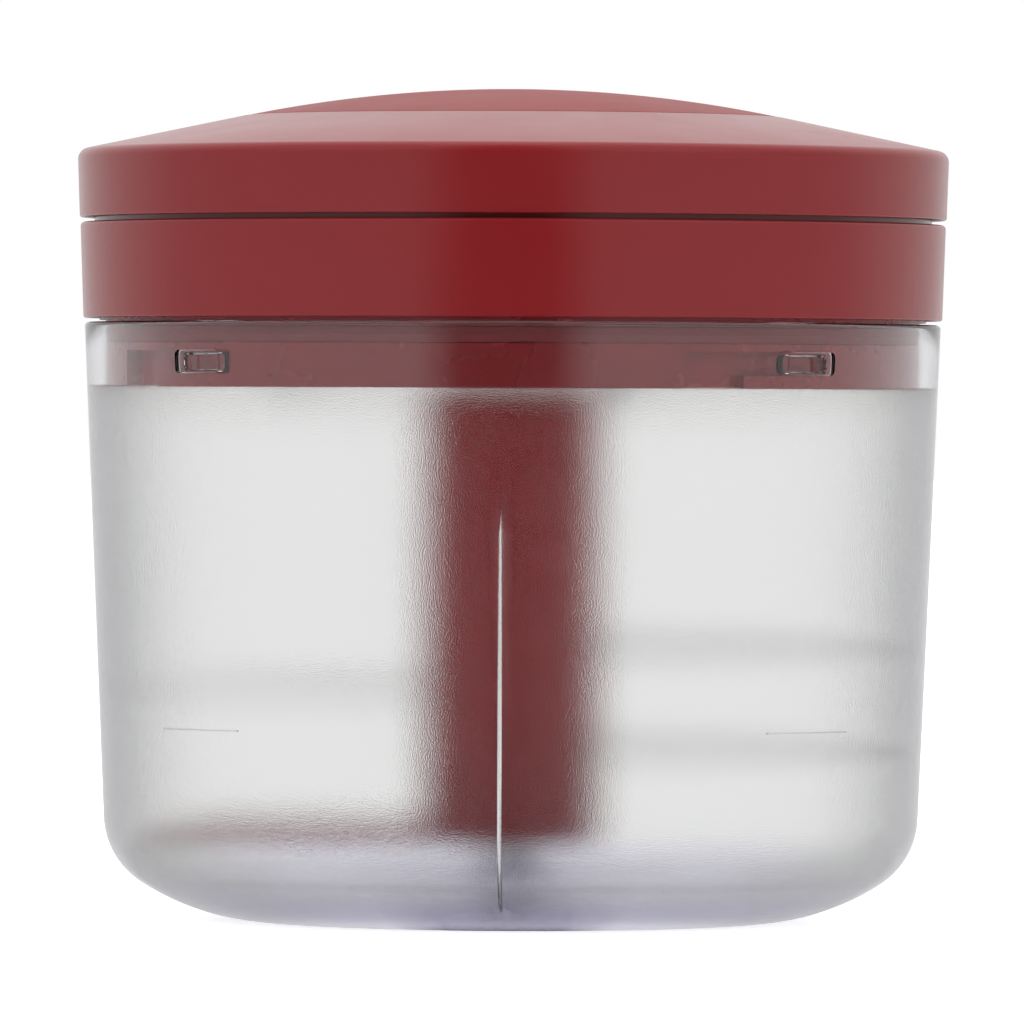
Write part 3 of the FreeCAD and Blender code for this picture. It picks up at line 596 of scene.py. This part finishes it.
def moved_out(mesh, size, faces, angle, distance):
    """Extrude faces about an angle along the radius, and round their outline and its edges."""
    raised = bmesh.ops.extrude_face_region(mesh, geom=faces)["geom"]
    bmesh.ops.delete(mesh, geom=faces, context="FACES")
    verts = [item for item in raised if isinstance(item, bmesh.types.BMVert)]
    for vert in verts:
        vert.co += outward(vert.co) * distance
    mesh.normal_update()
    reaches = [from_axis(vert.co) for vert in verts]
    near, far = min(reaches) - MM / 10, max(reaches) + MM / 10
    corners = []
    for edge in {e for vert in verts for e in vert.link_edges}:
        along = (edge.verts[1].co - edge.verts[0].co).normalized()
        radial = abs(along.dot(outward(edge.verts[0].co))) > 0.9
        if radial and edge.calc_face_angle(0.0) > SHARP_CORNER:
            corners.append(edge)
    round_off(mesh, corners, size.lug_corner, 4)
    mesh.normal_update()
    rims = [edge for edge in mesh.edges
            if all(near < from_axis(vert.co) < far for vert in edge.verts)
            and angle_between(azimuth(edge.verts[0].co), angle) < LUG_ROOM
            and edge.calc_face_angle(0.0) > SHARP_RIM]
    round_off(mesh, rims, size.lug_edge, 3, clamp_overlap=True)
    mesh.normal_update()


def wall_faces(mesh, low, high, angle, inside):
    """Return the wall's faces between two heights that lie about a lug's angle."""
    chosen = []
    for face in mesh.faces:
        centre = face.calc_center_median()
        level = face.normal.dot(outward(centre))
        if low < centre.z < high and abs(level) > 0.5 and (level < 0) == inside:
            if angle_between(azimuth(centre), angle) < LUG_HALF_ANGLE:
                chosen.append(face)
    return chosen


def add_lugs(mesh, size):
    """Raise the four bayonet lugs inside the rim and sink the pockets behind them."""
    wall = side_radius(size, (size.lug_low + size.lug_high) / 2) - size.wall
    margin = size.pocket_margin
    for angle in LUG_ANGLES:
        faces = wall_faces(mesh, size.lug_low, size.lug_high, angle, True)
        moved_out(mesh, size, faces, angle, size.lug_radius - wall)
        faces = wall_faces(mesh, size.lug_low - margin, size.lug_high + margin, angle, False)
        moved_out(mesh, size, faces, angle, -size.pocket_depth)


def add_fins(mesh, size):
    """Raise four slim fins on the inside of the wall, from the floor's edge upwards."""
    start = size.foot_radius + size.sweep_radius / 4
    lines = []
    for edge in mesh.edges:
        ends = [vert.co for vert in edge.verts]
        on_line = all(min(abs(co.x), abs(co.y)) < TINY for co in ends)
        within = all(co.z < size.fin_top + TINY and from_axis(co) > start for co in ends)
        facing = sum(face.normal.dot(outward(ends[0])) for face in edge.link_faces)
        if on_line and within and facing < -0.05:
            lines.append(edge)
    made = round_off(mesh, lines, size.fin_width / 2, 2)
    mesh.normal_update()
    ridge = [vert for vert in {v for face in made["faces"] for v in face.verts}
             if min(abs(vert.co.x), abs(vert.co.y)) < TINY and vert.co.z > size.wall]
    for vert in ridge:
        above = (size.fin_top - vert.co.z) / size.fin_taper
        along = (from_axis(vert.co) - start) / size.fin_taper
        vert.co += vert.normal * size.fin_depth * max(0.1, min(1.0, above, along))
    mesh.normal_update()


class CHOPPER_OT_bowl(Operator):
    """Build the clear bowl with its fins, bayonet lugs and pockets."""
    bl_idname = "chopper.bowl"
    bl_label = "Bowl"

    def execute(self, context):
        size = context.scene.chopper_bowl
        mesh = spun(bowl_profile(size), size.segments, closed=False)
        add_fins(mesh, size)
        add_lugs(mesh, size)
        for face in mesh.faces:
            centre = face.calc_center_median()
            inward = face.normal.dot(outward(centre)) < -0.01
            floor = size.wall / 2 < centre.z < size.side_start and face.normal.z > 0.5
            near_pin = from_axis(centre) < size.foot_radius / 2 and centre.z > size.wall
            if inward or floor or near_pin:
                face.material_index = CLEAR if centre.z > size.frost_top else FROSTED
        finished("chopper_bowl", mesh, [clear_plastic(name) for name in CLEAR_FACES], "bowl",
                 ["bowl"])
        return {"FINISHED"}


class CHOPPER_OT_fill_marks(Operator):
    """Build the two fine level lines inside the wall."""
    bl_idname = "chopper.fill_marks"
    bl_label = "Fill marks"

    def execute(self, context):
        size = context.scene.chopper_bowl
        radius = side_radius(size, size.mark_height) - size.wall
        line = size.mark_line
        mesh = bmesh.new()
        for first in MARK_ANGLES:
            turn = Matrix.Rotation(math.radians(first), 3, "Z")
            corners = [(radius - line / 2, -line / 2), (radius + line, -line / 2),
                       (radius + line, line / 2), (radius - line / 2, line / 2)]
            verts = [mesh.verts.new(turn @ Vector((r, 0, size.mark_height + z)))
                     for r, z in corners]
            face = mesh.faces.new(verts)
            bmesh.ops.spin(mesh, geom=[face], cent=(0, 0, 0), axis=(0, 0, 1),
                           angle=math.radians(MARK_SPAN), steps=12)
        bmesh.ops.recalc_face_normals(mesh, faces=mesh.faces)
        finished("fill_marks", mesh, (clear_plastic("bowl_inner_frost"),), "bowl")
        return {"FINISHED"}


def lid_band_profile(size):
    """Return the closed profile of the lid's lower tier."""
    low, high = bottom("lid_band"), top("lid_band")
    foot, head = size.band_foot_radius, reach("lid_band")
    under = high - size.band_wall
    inner_low = foot - size.band_wall
    points = rounded((inner_low, low), (foot, low), (head, high), size.edge_rounding * 0.6)
    points += rounded((foot, low), (head, high), (size.band_lip, high), size.edge_rounding)
    lip = size.cap_foot_radius - size.cap_wall - size.lip_gap
    points += [(lip, high), (lip, high + size.lip_height)]
    points += [(lip - size.lip_width, high + size.lip_height), (lip - size.lip_width, high)]
    points += rounded((head, high), (size.band_lip, high), (size.band_lip, under),
                      size.edge_rounding * 0.6)
    return points + [(size.band_lip, under), (inner_low, under), (inner_low, low)]


class CHOPPER_OT_lid_band(Operator):
    """Build the lower red tier of the lid."""
    bl_idname = "chopper.lid_band"
    bl_label = "Lid band"

    def execute(self, context):
        size = context.scene.chopper_lid
        mesh = spun(lid_band_profile(size), size.segments)
        finished("lid_lower_tier", mesh, (plastic("lid_red_gloss"),), "lid",
                 ["lid_band"])
        return {"FINISHED"}


def cap_profile(size):
    """Return the closed profile of the cap with its seat and bearing tube."""
    low = bottom("plunger_cap")
    edge = size.disc_radius + size.disc_gap
    seat = size.crease - size.disc_thickness - size.disc_gap
    under = seat - size.cap_wall
    inner = edge + size.cap_wall
    slope = (size.crease - size.cap_shoulder) / (size.cap_radius - edge)
    side = size.cap_foot_radius - size.cap_wall
    foot, corner, crease = ((size.cap_foot_radius, low), (size.cap_radius, size.cap_shoulder),
                            (edge, size.crease))
    points = rounded((side, low), foot, corner, size.edge_rounding * 0.6)
    points += rounded(foot, corner, crease, size.cap_corner, 10)
    points += rounded(corner, crease, (edge, seat), size.edge_rounding / 2)
    bore = size.stub_radius + size.stub_gap
    tube = bore + size.tube_wall
    window = (size.peg_circle - size.window_half, size.peg_circle + size.window_half)
    tube_top = size.crease + size.disc_crown - 2 * size.cap_wall - size.disc_gap * 2
    points += [(edge, seat), (window[1], seat), (window[0], seat)]
    points += [(tube, seat), (tube, tube_top), (bore, tube_top), (bore, under)]
    points += [(window[0], under), (window[1], under)]
    points += [(inner, under), (inner, size.crease - slope * size.cap_wall - size.cap_wall)]
    points += [(side, size.cap_shoulder + slope * (size.cap_radius - side) - size.cap_wall)]
    return points + [(side, low)]


class CHOPPER_OT_cap(Operator):
    """Build the upper red tier with its rounded shoulder and the peg windows."""
    bl_idname = "chopper.cap"
    bl_label = "Cap"

    def execute(self, context):
        size = context.scene.chopper_lid
        mesh = spun(cap_profile(size), size.segments)
        for middle in WINDOW_ANGLES:
            cut_window(mesh, size, middle)
        finished("lid_upper_tier", mesh, (plastic("lid_red_gloss"),), "plunger",
                 ["plunger_cap"])
        return {"FINISHED"}


def cut_window(mesh, size, middle):
    """Cut the curved window that a lock peg moves in through the cap's seat."""
    gone = []
    for face in mesh.faces:
        centre = face.calc_center_median()
        in_ring = abs(from_axis(centre) - size.peg_circle) < size.window_half
        if abs(face.normal.z) > 0.99 and in_ring:
            if angle_between(azimuth(centre), middle) < WINDOW_HALF_ANGLE:
                gone.append(face)
    rims = [edge for edge in {e for face in gone for e in face.edges}
            if sum(face in gone for face in edge.link_faces) == 1]
    bmesh.ops.delete(mesh, geom=gone, context="FACES")
    bmesh.ops.bridge_loops(mesh, edges=rims)
    bmesh.ops.recalc_face_normals(mesh, faces=mesh.faces)


class CHOPPER_OT_palm_disc(Operator):
    """Build the matte domed disc with its stub and lock pegs."""
    bl_idname = "chopper.palm_disc"
    bl_label = "Palm disc"

    def execute(self, context):
        size = context.scene.chopper_lid
        sphere = (size.disc_radius ** 2 + size.disc_crown ** 2) / (2 * size.disc_crown)
        centre = size.crease + size.disc_crown - sphere
        spread = math.degrees(math.asin(size.disc_radius / sphere))
        crown = arc(0, centre, sphere, 90, 90 - spread, 28)
        rim = size.crease - size.disc_thickness
        hollow = size.disc_recess
        recess = centre + math.sqrt(sphere ** 2 - hollow ** 2) - size.disc_thickness
        edge = rounded(crown[-2], crown[-1], (size.disc_radius, rim), size.edge_rounding / 2)
        stub_low = rim - size.disc_gap - size.cap_wall / 2
        profile = crown[:-1] + edge + [(size.disc_radius, rim), (hollow, rim),
                                       (hollow, recess), (size.stub_radius, recess),
                                       (size.stub_radius, stub_low), (0, stub_low)]
        mesh = spun(profile, size.segments, closed=False)
        for place in around(size.peg_circle, PEG_COUNT, PEGS_FIRST):
            add_cylinder(mesh, size.peg_radius, bottom("palm_disc"), rim + size.peg_root, place)
        finished("palm_pad", mesh, (plastic("disc_red_matte"),), "lock",
                 ["palm_disc"])
        return {"FINISHED"}


def add_box(mesh, low, high, angle):
    """Add a box between two corners, turned about the axis, to a bmesh."""
    size = Vector(high) - Vector(low)
    middle = (Vector(high) + Vector(low)) / 2
    matrix = (Matrix.Rotation(math.radians(angle), 4, "Z") @ Matrix.Translation(middle)
              @ Matrix.Diagonal((*size, 1.0)))
    bmesh.ops.create_cube(mesh, size=1.0, matrix=matrix)


class CHOPPER_OT_column(Operator):
    """Build the smooth hollow column with its rounded foot, bush tube and ribs."""
    bl_idname = "chopper.column"
    bl_label = "Column"

    def execute(self, context):
        wall, floor_thickness, rib_half = 2 * MM, 3 * MM, 0.8 * MM
        foot_rounding, edge_rounding = 1.8 * MM, 0.3 * MM
        radius = reach("drive_socket") + wall
        low, high = bottom("blade_column"), top("blade_column")
        bore, tube_top = reach("column_bush"), top("column_bush")
        floor = low + floor_thickness
        foot, shoulder = (radius, low), (radius, high)
        profile = [(bore, low)] + rounded((bore, low), foot, shoulder, foot_rounding, 8)
        profile += rounded(foot, shoulder, (radius - wall, high), edge_rounding, 3)
        profile += [(radius - wall, high), (radius - wall, floor), (bore + wall, floor),
                    (bore + wall, tube_top), (bore, tube_top)]
        mesh = spun(profile, 96)
        for angle in RIB_ANGLES:
            add_box(mesh, (bore + wall / 2, -rib_half, floor),
                    (radius - wall / 2, rib_half, bottom("drive_socket")), angle)
        # The column behind the clear wall gets the lighter red that stands in for light: painted
        # light.
        finished("drive_column", mesh, (plastic("column_red"),), "blade_unit",
                 ["blade_column"])
        return {"FINISHED"}


class CHOPPER_OT_return_spring(Operator):
    """Build the coil that lifts the cap, stretching between the lid and the plunger."""
    bl_idname = "chopper.return_spring"
    bl_label = "Return spring"

    def execute(self, context):
        low, high = bottom("return_spring"), top("return_spring")
        wire = 0.8 * MM
        radius = reach("return_spring") - wire
        turns, steps, sides = 6, 40, 12
        rise = high - low - 2 * wire
        mesh = bmesh.new()
        rings = []
        for n in range(turns * steps + 1):
            turn = math.tau * n / steps
            out = Vector((math.cos(turn), math.sin(turn), 0.0))
            height = low + wire + rise * n / (turns * steps)
            ring = arc(radius, height, wire, 0, 360, sides)[:-1]
            rings.append([mesh.verts.new(out * r + Vector((0, 0, z))) for r, z in ring])
        for here, following in zip(rings, rings[1:]):
            for k in range(sides):
                after = (k + 1) % sides
                mesh.faces.new((here[k], here[after], following[after], following[k]))
        mesh.faces.new(rings[0])
        mesh.faces.new(rings[-1])
        bmesh.ops.recalc_face_normals(mesh, faces=mesh.faces)
        piece = finished("lifting_coil", mesh, (steel("spring_wire"),), None,
                         ["return_spring"], sharp=50.0)
        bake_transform(piece)
        return {"FINISHED"}


def add_screw(mesh, place, face_z, way):
    """Add a pan-head screw with a six-sided socket, its head seated on a face."""
    head, radius, head_rounding = 1.6 * MM, 2.8 * MM, 0.7 * MM
    socket, socket_floor = 1.3 * MM, 0.7 * MM
    shank, tip = 1.5 * MM, -5.6 * MM
    profile = [(0, socket_floor), (socket, socket_floor), (socket, head)]
    profile += rounded((0, head), (radius, head), (radius, 0), head_rounding, 5)
    profile += [(radius, 0), (shank, 0), (shank, tip), (0, tip)]
    made = spun(profile, 36, closed=False)
    for vert in made.verts:
        if abs(from_axis(vert.co) - socket) < TINY:
            turn = (azimuth(vert.co) % 60.0) - 30.0
            share = math.cos(math.radians(30)) / math.cos(math.radians(turn))
            vert.co.x *= share
            vert.co.y *= share
    data = bpy.data.meshes.new("screw")
    made.transform(Matrix.Translation((place[0], place[1], face_z))
                   @ Matrix.Diagonal((1, way, way, 1)))
    made.to_mesh(data)
    made.free()
    mesh.from_mesh(data)
    bpy.data.meshes.remove(data)


class CHOPPER_OT_screws(Operator):
    """Build the pan-head screws of the lid, the cap, the lock ring and the rod."""
    bl_idname = "chopper.screws"
    bl_label = "Screws"

    def execute(self, context):
        peg_circle = context.scene.chopper_lid.peg_circle
        frame_top, flange = top("plunger_frame"), 2 * MM
        # Node, body, radius of the circle, count, first angle, face, and 1 for a head on top.
        groups = (("plate_screws", "lid", 33 * MM, 3, 60.0, bottom("bearing_plate"), -1),
                  ("frame_screws", "plunger", 46 * MM, 3, 60.0, frame_top - flange, -1),
                  ("lock_screws", "lock", peg_circle, PEG_COUNT, PEGS_FIRST,
                   bottom("lock_ring"), -1),
                  ("rod_screw", "plunger", 0.0, 1, 0.0, frame_top, 1))
        for node, body, circle, count, first, face_z, way in groups:
            mesh = bmesh.new()
            for place in around(circle, count, first):
                add_screw(mesh, place, face_z, way)
            bmesh.ops.recalc_face_normals(mesh, faces=mesh.faces)
            finished("socket_" + node, mesh, (steel("screw_steel"),), body,
                     [node])
        return {"FINISHED"}


class CHOPPER_OT_finishes(Operator):
    """Give the pieces that come straight from the solids their finishes."""
    bl_idname = "chopper.finishes"
    bl_label = "Finishes"

    def execute(self, context):
        white = ("column_bush", "drive_socket", "bearing_plate", "drive_hub", "drive_nut",
                 "plunger_frame", "lock_ring")
        choices = {name: plastic("inner_white") for name in white}
        # The lid's inner body and the paddle behind the clear wall share the column's lighter
        # red, which is painted light.
        choices["lid_body"] = plastic("column_red")
        choices["mixing_paddle"] = plastic("column_red")
        choices["lid_seal"] = plastic("seal_red")
        for name in ("blade_lower", "blade_middle", "blade_upper", "pivot_pin"):
            choices[name] = steel("blade_steel_ground")
        for name in ("drive_rod", "ratchet_spring"):
            choices[name] = steel("turned_steel")
        for name, material in choices.items():
            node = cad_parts[name]
            node.data.materials.clear()
            node.data.materials.append(material)
        return {"FINISHED"}


def lamp(name, power, width, place):
    """Add a square lamp that lights the object but doesn't show in reflections."""
    data = bpy.data.lights.new(name, "AREA")
    data.shape = "SQUARE"
    data.size = width
    data.energy = power
    made = bpy.data.objects.new(name, data)
    made.location = place
    made.rotation_euler = (Vector(LAMP_AIM) - Vector(place)).to_track_quat("-Z", "Y").to_euler()
    made.visible_glossy = False
    made.visible_camera = False
    made.visible_transmission = False
    bpy.context.scene.collection.objects.link(made)


def ray_kinds(tree):
    """Return masks of the rays seen directly, mirrored and spread, behind glass and in it."""
    path = add_node(tree, "LightPath")
    spread, glossy, inside = (joined(tree, path.outputs[kind + " Depth"], 1.0, "MINIMUM")
                              for kind in ("Diffuse", "Glossy", "Transmission"))
    beyond = joined(tree, path.outputs["Transmission Depth"], 2.5, "GREATER_THAN")
    clean = joined(tree, 1.0, spread, "SUBTRACT")
    mirrored = joined(tree, glossy, clean, "MULTIPLY")
    seen = joined(tree, clean, mirrored, "SUBTRACT")
    return seen, mirrored, spread, inside, joined(tree, inside, beyond, "SUBTRACT")


def mirrored_level(tree, stage, direction, guided):
    """Return how bright the studio mirrors towards a direction: dark in front, white behind."""
    split = add_node(tree, "SeparateXYZ")
    tree.links.new(direction, split.inputs["Vector"])
    turn = joined(tree, split.outputs["X"], joined(tree, split.outputs["Y"], -1.0, "MULTIPLY"),
                  "ARCTAN2")
    away = joined(tree, turn, 0.0, "ABSOLUTE")
    box = ramp(tree, away, *FRONT_TURN, stage.front, stage.side)
    back = ramp(tree, away, *BACK_TURN, 0.0, stage.back - stage.side)
    over = ramp(tree, split.outputs["Z"], *OVERHEAD, 0.0, stage.above)
    level = joined(tree, joined(tree, box, back, "ADD"), over, "ADD")
    lowest = ramp(tree, away, *FRONT_TURN, stage.front, stage.guided)
    lowest = joined(tree, guided, lowest, "MULTIPLY")
    return joined(tree, level, lowest, "MAXIMUM")


def studio_world(stage):
    """White behind the object, soft boxes at its sides and a dark room in front of it."""
    world = bpy.data.worlds.new("studio")
    world.use_nodes = True
    tree = world.node_tree
    background = tree.nodes["Background"]
    place = add_node(tree, "TexCoord")
    seen, mirrored, spread, inside, guided = ray_kinds(tree)
    level = mirrored_level(tree, stage, place.outputs["Generated"], guided)
    ambient = ramp(tree, inside, 0.0, 1.0, stage.ambient, stage.ambient_inside)
    total = joined(tree, joined(tree, seen, joined(tree, mirrored, level, "MULTIPLY"), "ADD"),
                   joined(tree, spread, ambient, "MULTIPLY"), "ADD")
    tree.links.new(total, background.inputs["Strength"])
    background.inputs["Color"].default_value = (1, 1, 1, 1)
    bpy.context.scene.world = world


def floor_material(stage, base):
    """A pale sheet that stays white to the camera and keeps a soft shadow."""
    material, tree, shader = new_material("pale_floor")
    shader.inputs["Specular IOR Level"].default_value = 0.0
    shader.inputs["Emission Color"].default_value = (1, 1, 1, 1)
    grain = place_group(tree, grain_group(), grain_size=300.0, cloud_size=6.0, low=0.7, high=0.8)
    place = add_node(tree, "TexCoord")
    away = tree.nodes.new("ShaderNodeVectorMath")
    away.operation = "LENGTH"
    link_all(tree, (grain, "Roughness", shader, "Roughness"), (place, "Object", away, "Vector"))
    seen, mirrored, _, inside, guided = ray_kinds(tree)
    black = joined(tree, mirrored, joined(tree, seen, inside, "MULTIPLY"), "ADD")
    tree.links.new(mixed(tree, base, (0, 0, 0, 1), black), shader.inputs["Base Color"])
    level = mirrored_level(tree, stage, place.outputs["Object"], guided)
    close = ramp(tree, away.outputs["Value"], *FLOOR_NEAR, stage.guided, 0.0)
    level = joined(tree, level, joined(tree, close, guided, "MULTIPLY"), "MAXIMUM")
    glow = joined(tree, seen, ramp(tree, inside, 0.0, 1.0, stage.floor_glow, 1.0), "MULTIPLY")
    tree.links.new(joined(tree, glow, joined(tree, mirrored, level, "MULTIPLY"), "ADD"),
                   shader.inputs["Emission Strength"])
    return material


class CHOPPER_OT_stage(Operator):
    """Set the pale floor, the soft light and the camera of the photograph."""
    bl_idname = "chopper.stage"
    bl_label = "Stage"

    def execute(self, context):
        scene = context.scene
        stage = scene.chopper_stage
        mesh = bmesh.new()
        bmesh.ops.create_grid(mesh, x_segments=8, y_segments=8, size=FLOOR_HALF_WIDTH)
        data = bpy.data.meshes.new("floor")
        mesh.to_mesh(data)
        mesh.free()
        floor = bpy.data.objects.new("floor", data)
        data.materials.append(floor_material(stage, scene.chopper_finish.floor))
        scene.collection.objects.link(floor)
        studio_world(stage)
        for name, power, width, place in LAMPS:
            lamp(name, getattr(stage, power), width, place)
        data = bpy.data.cameras.new("photo_camera")
        data.sensor_width = SENSOR_WIDTH
        data.lens = SENSOR_WIDTH * stage.camera_distance / (stage.photo_scale * PHOTO_PIXELS)
        camera = bpy.data.objects.new("photo_camera", data)
        turn = stage.camera_turn
        camera.location = (stage.camera_distance * math.sin(turn),
                           -stage.camera_distance * math.cos(turn), stage.camera_height)
        view = Vector((0, 0, stage.aim_height)) - camera.location
        camera.rotation_euler = (view.to_track_quat("-Z", "Y").to_matrix().to_4x4()
                                 @ Matrix.Rotation(stage.camera_roll, 4, "Z")).to_euler()
        data.clip_end = VIEW_END
        scene.collection.objects.link(camera)
        scene.camera = camera
        scene.view_settings.view_transform = "Standard"
        return {"FINISHED"}


class CHOPPER_PT_panel(Panel):
    """Buttons that build the chopper piece by piece."""
    bl_label = "Food chopper"
    bl_space_type = "VIEW_3D"
    bl_region_type = "UI"
    bl_category = "Chopper"

    def draw(self, context):
        for operator in OPERATORS:
            self.layout.operator(operator.bl_idname)
        for group in POINTERS:
            settings = getattr(context.scene, group)
            box = self.layout.box()
            for name in settings.__annotations__:
                box.prop(settings, name)


OPERATORS = (CHOPPER_OT_bowl, CHOPPER_OT_fill_marks, CHOPPER_OT_lid_band, CHOPPER_OT_cap,
             CHOPPER_OT_palm_disc, CHOPPER_OT_column, CHOPPER_OT_return_spring,
             CHOPPER_OT_screws, CHOPPER_OT_finishes, CHOPPER_OT_stage)
POINTERS = {"chopper_bowl": CHOPPER_PG_bowl, "chopper_lid": CHOPPER_PG_lid,
            "chopper_finish": CHOPPER_PG_finish, "chopper_stage": CHOPPER_PG_stage}


def register():
    """Register the settings, the operators and the panel."""
    for group in POINTERS.values():
        bpy.utils.register_class(group)
    for name, group in POINTERS.items():
        setattr(bpy.types.Scene, name, PointerProperty(type=group))
    for operator in OPERATORS:
        bpy.utils.register_class(operator)
    bpy.utils.register_class(CHOPPER_PT_panel)


def unregister():
    """Take the panel, the operators and the settings away again."""
    bpy.utils.unregister_class(CHOPPER_PT_panel)
    for operator in reversed(OPERATORS):
        bpy.utils.unregister_class(operator)
    for name, group in reversed(POINTERS.items()):
        delattr(bpy.types.Scene, name)
        bpy.utils.unregister_class(group)


def main():
    """Register everything and build the pieces."""
    register()
    bpy.ops.chopper.bowl()
    bpy.ops.chopper.fill_marks()
    bpy.ops.chopper.lid_band()
    bpy.ops.chopper.cap()
    bpy.ops.chopper.palm_disc()
    bpy.ops.chopper.column()
    bpy.ops.chopper.return_spring()
    bpy.ops.chopper.screws()
    bpy.ops.chopper.finishes()
    bpy.ops.chopper.stage()


if __name__ == "__main__":
    main()
